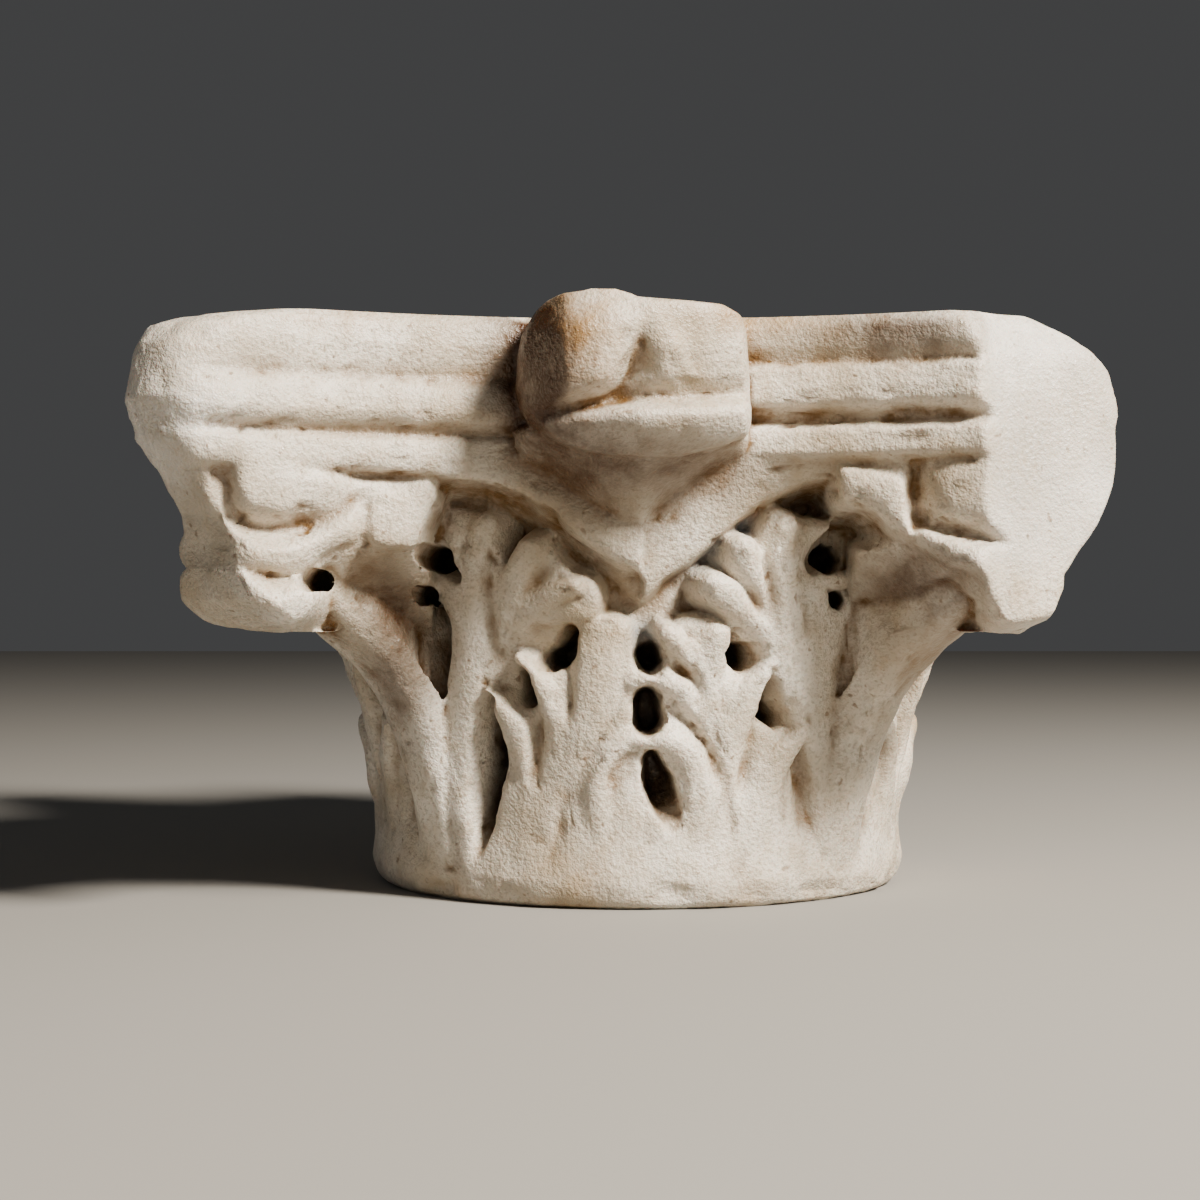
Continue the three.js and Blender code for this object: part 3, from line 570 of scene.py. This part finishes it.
def boss(face):
    """Rings of a boss: level cuts that run from its left edge over its front to its right edge.

    Its reach changes with height and falls away from the middle to the flanks, which turn in over
    a tenth of its width; the front one keeps a stump on the left and a hollow beside it.
    """
    front = face == 0
    edge_heights, left_edge, right_edge = BOSS_EDGES if front else PLAIN_BOSS_EDGES
    heights = np.linspace(edge_heights[0], edge_heights[-1], 56)
    share = np.linspace(-1, 1, 81)
    left = np.interp(heights, edge_heights, left_edge)[:, None]
    right = np.interp(heights, edge_heights, right_edge)[:, None]
    X = (left + right) / 2 + share * (right - left) / 2
    Z = np.repeat(heights[:, None], len(share), 1)
    reach = np.interp(Z - 0.05 * X, *BOSS_REACH) - 9 * (np.abs(X + 1) / 28) ** 1.5
    if front:
        reach = score(reach, X, Z, through([(-12, 139.5), (-4.4, 143), (-0.5, 151)]), 10, 5, (0.6, 1, 0.2))
        ridge = through([(1.4, 157), (4, 150), (9, 141)])
        reach = raise_to(reach, tongue(X, Z, ridge, (3, 4, 4), reach, (0.6, 1.6, 0.6), 1, 1), 1)
        flank = 132.6 - 0.012 * (X + 10) ** 2 - 0.9 * np.maximum(-20 - X, 0) - 6 * smoothstep(152, 165, Z)
        stump = plate(X, Z, rounded(STUMP, 2), flank, 2.6, 2.4, 3.4)
        reach = raise_to(reach, stump, 1)
    turned = np.minimum((1 - np.abs(share)) / 0.1, 1)
    reach = 96 + (reach - 96) * np.sqrt(1 - (1 - turned) ** 2)
    back = 70 + 46 * smoothstep(157, 163, heights)
    reach[:, 0] = reach[:, -1] = back
    turn = math.radians(90 * face)
    x = X * math.cos(turn) + reach * math.sin(turn)
    y = X * math.sin(turn) - reach * math.cos(turn)
    return np.stack([x, y, Z], -1)


def volutes(field, X, Z, outline, bodies, grooves, side=1):
    """The block of two volutes on one end of a side, its rounded bodies raised on it, its creases cut."""
    surface = side_curve(X) - np.interp(Z, BLOCK_HEIGHTS, BLOCK_INSETS)
    turn = (side, 1)
    away = np.abs(X)
    wall = 9 - 7.6 * smoothstep(87, 80, away) * smoothstep(54, 58, away) * smoothstep(106, 98, Z)
    block = plate(X, Z, rounded(np.array(outline) * turn, 2), surface, 1.8, 2.6, wall)
    for shape, inset, edge, soft in bodies:
        body = plate(X, Z, rounded(np.array(shape) * turn, 2), side_curve(X) - inset, edge, soft, 7)
        block = raise_to(block, body, 1)
    for path, width, depth, fade in grooves:
        block = score(block, X, Z, through(np.array(path) * turn), width, depth, fade)
    return raise_to(field, block, 1.2)


# The plane of the front right horn's break: a place on it, and how it turns back for each mm of x
BREAK_X, BREAK_DISTANCE, BREAK_SLOPE = 88, 112.6, 0.38


def split_bulge(X, Z):
    """How far the break departs from its plane: a low dome, leaning back at its top and bottom."""
    dome = 2.4 * np.exp(-((X - 106) ** 2 + (Z - 128) ** 2) / 1100)
    return dome - 0.05 * (Z - 120) - 0.05 * np.maximum(Z - 147, 0) ** 1.9


def broken_front(X, Z):
    """The horn's clean break over the front: a short steep drop from a wavy edge, then a plane."""
    edge = 85.6 + 0.03 * (Z - 130) + 0.6 * np.sin(Z / 6.1)
    lip = 5 * np.exp(-np.maximum(X - edge, 0) / 4)
    return BREAK_DISTANCE - BREAK_SLOPE * (X - BREAK_X) + lip + split_bulge(X, Z)


def broken_side(X, Z):
    """The same break over the right side, and the outline that it shows from the front."""
    plane = BREAK_X + (BREAK_DISTANCE + X) / BREAK_SLOPE
    outline = np.interp(Z, [77, 80, 88, 92, 94, 105, 116, 127, 136, 145, 151, 155, 158, 160],
                        [100, 106, 110, 110, 112, 119.5, 125, 127.5, 126.5, 123, 118, 112.5, 106, 101])
    return lower_to(plane + split_bulge(np.clip(plane, 86, 130), Z) / BREAK_SLOPE, outline, 3)


def head_side(X, Z, face):
    """The distance over one side of the head.

    The sweep of the side less the mouldings' insets, worn away towards the horns' ends. The
    bracket, the fillet's arms and the volutes are raised on it, eyes are sunk in it, and each horn
    is cut across. The front right horn is cut back by its break, over the front and the right side.
    """
    front = face == 0
    inset = np.interp(Z, *LEFT_MOULDING)
    if front:
        inset = np.where(X < 0, inset, np.interp(Z, *RIGHT_MOULDING))
    end = smoothstep(104, 120, np.abs(X)) * smoothstep(116, 121, Z) * smoothstep(158, 152, Z)
    field = side_curve(X) - inset * (1 - 0.8 * end) - 1.4 * end
    field = np.maximum(field, 50)
    right_arm = RIGHT_ARM if front else LEFT_ARM
    console = bracket(X, Z, LEFT_ARM[0], right_arm[0], -1.3 if front else 0)
    field = raise_to(field, console, 1.5)
    field = arms(field, X, Z, LEFT_ARM, X < 0)
    field = arms(field, X, Z, right_arm, X >= 0)
    field = volutes(field, X, Z, LEFT_BLOCK, LEFT_BODIES, LEFT_GROOVES)
    if front:
        field = volutes(field, X, Z, RIGHT_BLOCK, RIGHT_BODIES, RIGHT_GROOVES)
        field = pit(field, X, Z, np.array([(75.6, 84.6), (78.4, 84.6)]), (2, 2), (88, 88), 2)
    else:
        field = volutes(field, X, Z, LEFT_BLOCK, LEFT_BODIES, LEFT_GROOVES, -1)
        eye = np.array([(-84.2, 92), (-83.2, 88.6)])
        for side in (1, -1):
            field = pit(field, X, Z, eye * (side, 1), (3.8, 3.2), (88, 90))
    # Low down the head stays outside its own diagonals, so its rings never cross themselves
    field = np.maximum(field, np.minimum(np.abs(X) + 1.5, 82))
    horn = np.interp(Z, HORN_HEIGHTS, HORN_REACHES) * math.sqrt(2) - np.abs(X)
    field = lower_to(field, horn, 5 + 12 * smoothstep(104, 134, Z))
    unbroken = 400
    if front:
        field = lower_to(field, np.where(X > 60, broken_front(X, Z), unbroken), 2)
    if face == 1:
        rim = side_curve(X) - 0.6 - 0.8 * np.maximum(X + 92, 0)
        field = raise_to(field, np.where(X < -75, rim, 0), 3)
        field = lower_to(field, np.where(X < -60, broken_side(X, Z), unbroken), 2)
    return field


def head():
    """Rings of the head: each side runs from diagonal to diagonal, where x equals the distance.

    Both ends are found by steps, each of a share of what is still missing.
    """
    heights = np.concatenate([np.linspace(HEAD_FOOT, HEIGHT - 1.5, 96), [HEIGHT - 0.7, HEIGHT]])
    columns, steps = 300, 22
    share = np.linspace(-1, 1, columns + 1)[:-1] + 1 / columns
    sides = []
    for face in range(4):
        low, high = (np.full((len(heights), 1), end) for end in (-110.0, 110.0))
        Z1 = heights[:, None]
        for _ in range(steps):
            low = low - 0.36 * (head_side(low, Z1, face) + low)
            high = high + 0.36 * (head_side(high, Z1, face) - high)
            low, high = np.clip(low, -140, -40), np.clip(high, 40, 140)
        X = (low + high) / 2 + share * (high - low) / 2
        Z = np.repeat(Z1, len(share), 1)
        D = head_side(X, Z, face)
        turn = math.radians(90 * face)
        x = X * math.cos(turn) + D * math.sin(turn)
        y = X * math.sin(turn) - D * math.cos(turn)
        sides.append(np.stack([x, y, Z], -1))
    return np.concatenate(sides, 1)


# Making the meshes

def one_mesh(skins, name):
    """One mesh over all closed skins, laid one after another."""
    points, faces, start = [], [], 0
    for rings in skins:
        p, quads, fans = closed_skin(rings)
        points.append(p)
        faces += (quads + start).tolist() + (fans + start).tolist()
        start += len(p)
    mesh = bpy.data.meshes.new(name)
    mesh.from_pydata(np.vstack(points) * MM, [], faces)
    mesh.update()
    return mesh


def after_modifiers(piece):
    """The piece's mesh as its modifiers leave it, in place of the one they worked on."""
    made = bpy.data.meshes.new_from_object(piece.evaluated_get(bpy.context.evaluated_depsgraph_get()))
    piece.modifiers.clear()
    piece.data = made


def lattice_noise(points, size, seed):
    """Smooth noise from -1 to 1: random values on a turned lattice, blended between its corners."""
    random = np.random.RandomState(seed)
    values = random.rand(32, 32, 32) * 2 - 1
    turned = np.linalg.qr(random.randn(3, 3))[0]
    p = points @ turned / size + 640
    cell = np.floor(p).astype(int)
    t = p - cell
    t = t * t * (3 - 2 * t)
    total = np.zeros(len(points))
    for corner in range(8):
        step = np.array([corner & 1, corner >> 1 & 1, corner >> 2])
        weight = np.prod(np.where(step == 1, t, 1 - t), 1)
        i, j, k = ((cell + step) % 32).T
        total += weight * values[i, j, k]
    return total


def coordinates(mesh):
    """The places of all vertices, in millimetres."""
    flat = np.empty(len(mesh.vertices) * 3)
    mesh.vertices.foreach_get("co", flat)
    return flat.reshape(-1, 3) / MM


def normals(mesh):
    """The outward direction at each vertex."""
    flat = np.empty(len(mesh.vertices) * 3)
    mesh.vertex_normals.foreach_get("vector", flat)
    return flat.reshape(-1, 3)


def smoothed(points, edges, times):
    """The points moved again and again halfway to the mean of their neighbours."""
    a, b = edges.T
    count = np.bincount(np.concatenate([a, b]), minlength=len(points))[:, None]
    for _ in range(times):
        total = np.stack([np.bincount(a, points[b, k], len(points))
                          + np.bincount(b, points[a, k], len(points)) for k in range(3)], -1)
        points = 0.5 * points + 0.5 * total / count
    return points


def carved_block():
    """The piece: all skins fused to one by small cells, the drills taken out of it, edges eased.

    Each face of the fused skin has four corners and counts as two triangles.
    """
    quarters = range(4)
    skins = [drum(), head()] + [boss(face) for face in quarters]
    skins += [corner_leaf(corner) for corner in quarters]
    block = bpy.data.objects.new("capital_carving", one_mesh(skins, "capital_carving"))
    bpy.context.scene.collection.objects.link(block)
    fuse = block.modifiers.new("fuse", "REMESH")
    fuse.mode = "VOXEL"
    fuse.voxel_size = SKIN_CELL * MM
    rods = [rod(*drill) for drill in DRILLS]
    drills = bpy.data.objects.new("drills", one_mesh(rods, "drills"))
    bpy.context.scene.collection.objects.link(drills)
    drilling = block.modifiers.new("drilled", "BOOLEAN")
    drilling.operation = "DIFFERENCE"
    drilling.solver = "EXACT"
    drilling.object = drills
    easing = block.modifiers.new("worn edges", "SMOOTH")
    easing.factor = 0.5
    easing.iterations = 1
    after_modifiers(block)
    bpy.data.objects.remove(drills)
    block.data.update()
    triangles = 2 * len(block.data.polygons)
    if triangles > MOST_TRIANGLES:
        thin = block.modifiers.new("thin", "DECIMATE")
        thin.ratio = MOST_TRIANGLES / triangles
        after_modifiers(block)
    return block


piece = carved_block()
mesh = piece.data
points, out = coordinates(mesh), normals(mesh)
edges = np.empty(len(mesh.edges) * 2, int)
mesh.edges.foreach_get("vertices", edges)
edges = edges.reshape(-1, 2)

# Wear in millimetres outwards: waves, pores and a chipped foot, on the bed and the underside none
px, py, pz = points.T
grain = (0.5 * lattice_noise(points, 17, 1) + 0.42 * lattice_noise(points, 7, 2)
         + 0.18 * lattice_noise(points, 3.4, 3))
grain -= 1.1 * np.maximum(lattice_noise(points, 2.6, 8) - 0.42, 0) * 2
grain -= 3 * np.maximum(lattice_noise(points, 9, 9) - 0.05, 0) * smoothstep(11, 3, pz)
# The end of the front left horn is bruised rough, and the break of the right one is smoother
rough_horn = np.exp(-((px + 121) ** 2 + (py + 116) ** 2) / 260 - ((pz - 134) / 22) ** 2)
grain += rough_horn * (1.1 * lattice_noise(points, 5, 4) + 0.7 * lattice_noise(points, 2.2, 5))
split = smoothstep(84, 92, px) * smoothstep(-70, -84, py) * smoothstep(88, 98, pz)
grain = grain * (1 - 0.55 * split) + split * 0.9 * lattice_noise(points, 11, 12)
free = smoothstep(0, 3, pz) * smoothstep(0, 3, np.abs(pz - HEIGHT))
moved = points + out * (grain * free)[:, None]
moved[:, 2] = np.where(pz < 0.4, 0, np.maximum(moved[:, 2], 0))
mesh.vertices.foreach_set("co", (moved * MM).ravel())
mesh.update()

# How far each place lies below its wide and its near surroundings
hollow = np.einsum("ij,ij->i", smoothed(moved, edges, 60) - moved, out)
crease = np.einsum("ij,ij->i", smoothed(moved, edges, 8) - moved, out)


def spot(x, z, wide, high, front=-60):
    """How near each point of the front is to a place: a bell curve over x and height, none behind."""
    near = np.exp(-((moved[:, 0] - x) / wide) ** 2 - ((moved[:, 2] - z) / high) ** 2)
    return near * (moved[:, 1] < front)


def mark(name, values):
    """Keeps a share from 0 to 1 for each vertex, under a name that the marble reads."""
    attribute = mesh.attributes.new(name, "FLOAT", "POINT")
    attribute.data.foreach_set("value", np.clip(values, 0, 1).astype(np.float32))


patches = 0.5 + 0.5 * lattice_noise(moved, 22, 6) + 0.3 * lattice_noise(moved, 6, 7)
under = np.clip(-out[:, 2], 0, 1) * smoothstep(60, 80, moved[:, 2])
reach = np.hypot(moved[:, 0], moved[:, 1])
sunk = smoothstep(80, 70, reach) * smoothstep(15, 25, moved[:, 2]) * smoothstep(125, 110, moved[:, 2])
# Soil with painted shade in hollows and creases, painted shade on undersides and deep in the drum;
# near-black painted shade in what is drilled deep
mark("soil_and_shade", 0.34 * hollow + 0.6 * crease + 0.42 * under * (0.5 + patches) + 0.25 * sunk - 0.05
     + 0.3 * split * np.maximum(patches - 0.5, 0))
# Painted shade, near black, deep in the drum between 15 and 125 mm up, in the deepest hollows and in the
# left eye
mark("deep_shade", sunk + smoothstep(3, 5.5, hollow) * 0.6 + spot(-84, 91, 4.4, 4.6) * smoothstep(1, 3, hollow))
# Painted shade, mixed with dark soil, on the stump's left face where it turns away from the light; painted
# shade under the bracket, under the right volute, beside the left volute and on the corner leaves' flanks;
# dark stains on the abacus
mark("umber_and_shade", 1.7 * spot(-30, 146, 11, 19, -98) * smoothstep(0.6, -0.1, out[:, 0])
     + 0.75 * spot(-14, 120, 17, 12, -90) + 0.5 * spot(12, 120, 16, 9)
     + 0.9 * spot(64, 154, 19, 6) * (0.4 + patches)
     + 0.85 * spot(72, 90, 15, 10) * smoothstep(-0.2, 0.5, -out[:, 2]) + 0.5 * spot(-68, 86, 9, 10)
     + 0.7 * spot(-66, 66, 10, 24) + 0.25 * spot(84, 70, 14, 18))
# Tan stains on the stump, along the top edge and round the foot
mark("ochre", 0.9 * spot(-21, 149, 14, 17, -98) * smoothstep(0, -9, moved[:, 0]) * (0.5 + patches)
     + 0.7 * spot(22, 158, 8, 4) + 0.6 * spot(36, 158, 9, 3) + 0.4 * spot(-76, 157, 16, 4)
     + 0.35 * spot(78, 70, 16, 14, 0)
     + 0.7 * (patches - 0.35) * smoothstep(44, 0, moved[:, 2]))
# Grey painted shade in the shallow hollows beside the leaves' tips, and grey mottling on the break; pale
# bruises on the horns
mark("grey_shade_and_mottle", spot(24, 100, 13, 15) * smoothstep(92, 84, reach)
     + 0.7 * spot(1, 76, 6, 5) * smoothstep(88, 84, reach)
     + 0.4 * spot(-19, 64, 6, 6) * smoothstep(84, 78, reach) + 0.35 * split * (1 - patches))
mark("bruise", rough_horn * 0.8 + spot(-112, 132, 10, 6) * 0.5 + 0.3 * split)

mesh.polygons.foreach_set("use_smooth", np.ones(len(mesh.polygons), bool))


# Materials

def colour(code):
    """An sRGB hex colour as linear red, green, blue and a full alpha."""
    c = np.array([int(code[i:i + 2], 16) / 255 for i in (1, 3, 5)])
    return (*np.where(c <= 0.04045, c / 12.92, ((c + 0.055) / 1.055) ** 2.4), 1.0)


def node(tree, kind, settings=(), links=()):
    """Adds a node, sets its properties or inputs, and links other nodes' outputs to its inputs."""
    made = tree.nodes.new(kind)
    for key, value in dict(settings).items():
        if isinstance(key, str) and hasattr(made, key):
            setattr(made, key, value)
        else:
            made.inputs[key].default_value = value
    for socket, source in dict(links).items():
        tree.links.new(source, made.inputs[socket])
    return made


# Patterns in the marble: cells to a metre, detail and roughness. Clouds are 36 mm wide, blotches of
# soil 7 mm and open pores 2.4 mm; the crystals are 1.1 mm, as coarse as white marble has them
PATTERNS = {
    "clouds": (28, 5, 0.55),
    "blotches": (140, 4, 0.65),
    "grains": (900, 2, 0.6),
    "pores": (420, 1.5, 0.5),
}

# Coats over the stone, the lowest first: its mark or none, the pattern that breaks it up, the range
# of the pattern that is read, the coat's share at both ends of it, and the coat's colour
COATS = [
    # Thin tan soil that never washed off, and grey and tan crystals on every face
    (None, "blotches", 0.48, 0.75, 0, 0.5, "#B09A78"),
    (None, "grains", 0.5, 0.64, 0, 0.5, "#9C8F7B"),
    # Brown soil with painted shade, tan stains, dark stains with painted shade, grey painted shade with
    # grey mottle, pale bruises, and the near-black painted shade of drilled holes
    ("soil_and_shade", "blotches", 0.3, 0.7, 0.55, 1.25, "#6F512A"),
    ("ochre", "blotches", 0.3, 0.7, 0.4, 1.3, "#9C7A4C"),
    ("umber_and_shade", "blotches", 0.3, 0.7, 0.8, 1.25, "#41260A"),
    ("grey_shade_and_mottle", "blotches", 0.3, 0.7, 0.5, 1.2, "#8F9499"),
    ("bruise", "grains", 0.3, 0.7, 0.1, 1.1, "#F2EFEA"),
    ("deep_shade", "blotches", 0.3, 0.7, 0.7, 1.1, "#2E2114"),
    # Dark specks in open pores
    (None, "pores", 0.68, 0.76, 0, 0.7, "#7A6248"),
]


def marble():
    """Old white marble, carved and weathered.

    Cream and grey clouds give the stone depth, some crystals shine and most are dull, a little
    light goes in under the surface, and soil, a few stains and painted shade in the hollows,
    under overhangs and in drilled holes darken it.
    """
    material = bpy.data.materials.new("weathered_marble")
    material.use_nodes = True
    tree = material.node_tree
    tree.nodes.clear()
    place = node(tree, "ShaderNodeTexCoord").outputs["Object"]
    patterns = {}
    for name, (scale, detail, rough) in PATTERNS.items():
        pattern = node(tree, "ShaderNodeTexNoise", {"Scale": scale, "Detail": detail, "Roughness": rough},
                       {"Vector": place})
        patterns[name] = pattern.outputs["Fac"]
    stone = node(tree, "ShaderNodeValToRGB", links={"Fac": patterns["clouds"]})
    for stop, at, code in zip(stone.color_ramp.elements, (0.32, 0.66), ("#AD9E86", "#E8E0D2")):
        stop.position = at
        stop.color = colour(code)
    base = stone.outputs["Color"]
    for name, pattern, low, high, least, most, code in COATS:
        span = {"From Min": low, "From Max": high, "To Min": least, "To Max": most}
        share = node(tree, "ShaderNodeMapRange", span, {"Value": patterns[pattern]}).outputs["Result"]
        if name:
            value = node(tree, "ShaderNodeAttribute", {"attribute_name": name}).outputs["Fac"]
            share = node(tree, "ShaderNodeMath", {"operation": "MULTIPLY", "use_clamp": True},
                         {0: value, 1: share}).outputs["Value"]
        coat = node(tree, "ShaderNodeMixRGB", {"Color2": colour(code)}, {"Fac": share, "Color1": base})
        base = coat.outputs["Color"]
    dull_to_shiny = {"From Min": 0.35, "From Max": 0.65, "To Min": 0.62, "To Max": 0.3}
    shine = node(tree, "ShaderNodeMapRange", dull_to_shiny, {"Value": patterns["grains"]})
    height = node(tree, "ShaderNodeMath", {"operation": "ADD"},
                  {0: patterns["blotches"], 1: patterns["grains"]})
    bumps = node(tree, "ShaderNodeBump", {"Strength": 0.7, "Distance": 0.8 * MM},
                 {"Height": height.outputs["Value"]})
    shader = node(tree, "ShaderNodeBsdfPrincipled",
                  {"IOR": 1.49, "Subsurface Weight": 0.12, "Subsurface Scale": 3 * MM},
                  {"Base Color": base, "Roughness": shine.outputs["Result"],
                   "Normal": bumps.outputs["Normal"]})
    node(tree, "ShaderNodeOutputMaterial", links={"Surface": shader.outputs["BSDF"]})
    return material


mesh.materials.clear()
mesh.materials.append(marble())
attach(piece, "root")
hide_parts("capital")

# Stage, lights and camera

floor = bpy.data.meshes.new("floor")
floor.from_pydata([(-3, -3, 0), (3, -3, 0), (3, 3, 0), (-3, 3, 0)], [], [(0, 1, 2, 3)])
floor_piece = bpy.data.objects.new("floor", floor)
# Matt painted board: pale grey, with no shine of its own
pale = bpy.data.materials.new("matt_grey_paint")
pale.use_nodes = True
paint = pale.node_tree.nodes["Principled BSDF"].inputs
paint["Base Color"].default_value = colour("#8E8B85")
paint["Roughness"].default_value = 0.9
floor.materials.append(pale)
bpy.context.scene.collection.objects.link(floor_piece)

camera = bpy.data.objects.new("camera", bpy.data.cameras.new("camera"))
# The photograph's lens: 2220 px away for a picture 1200 px wide, on a 36 mm sensor
camera.data.lens = 36 * 2220 / 1200
camera.data.clip_start = 0.01
camera.location = (-0.0114, -0.686, 0.085)
camera.rotation_euler = (math.pi / 2, 0, 0)
bpy.context.scene.collection.objects.link(camera)
bpy.context.scene.camera = camera


def soft_light(name, place, size, watts, tint):
    """A square light of a size in metres, turned to the middle of the capital."""
    lamp = bpy.data.lights.new(name, "AREA")
    lamp.shape = "SQUARE"
    lamp.size = size
    lamp.energy = watts
    lamp.color = colour(tint)[:3]
    holder = bpy.data.objects.new(name, lamp)
    holder.location = place
    towards = Vector((0, 0, 0.09)) - Vector(place)
    holder.rotation_euler = towards.to_track_quat("-Z", "Y").to_euler()
    bpy.context.scene.collection.objects.link(holder)


soft_light("window", (0.8, -0.82, 1.0), 0.32, 80, "#FFF6EA")
soft_light("room", (-0.9, -0.9, 0.5), 1.2, 0.7, "#EAF0FF")
world = bpy.data.worlds.new("world")
world.use_nodes = True
surroundings = world.node_tree.nodes["Background"].inputs
surroundings["Color"].default_value = colour("#D9DADC")
surroundings["Strength"].default_value = 0.085
bpy.context.scene.world = world
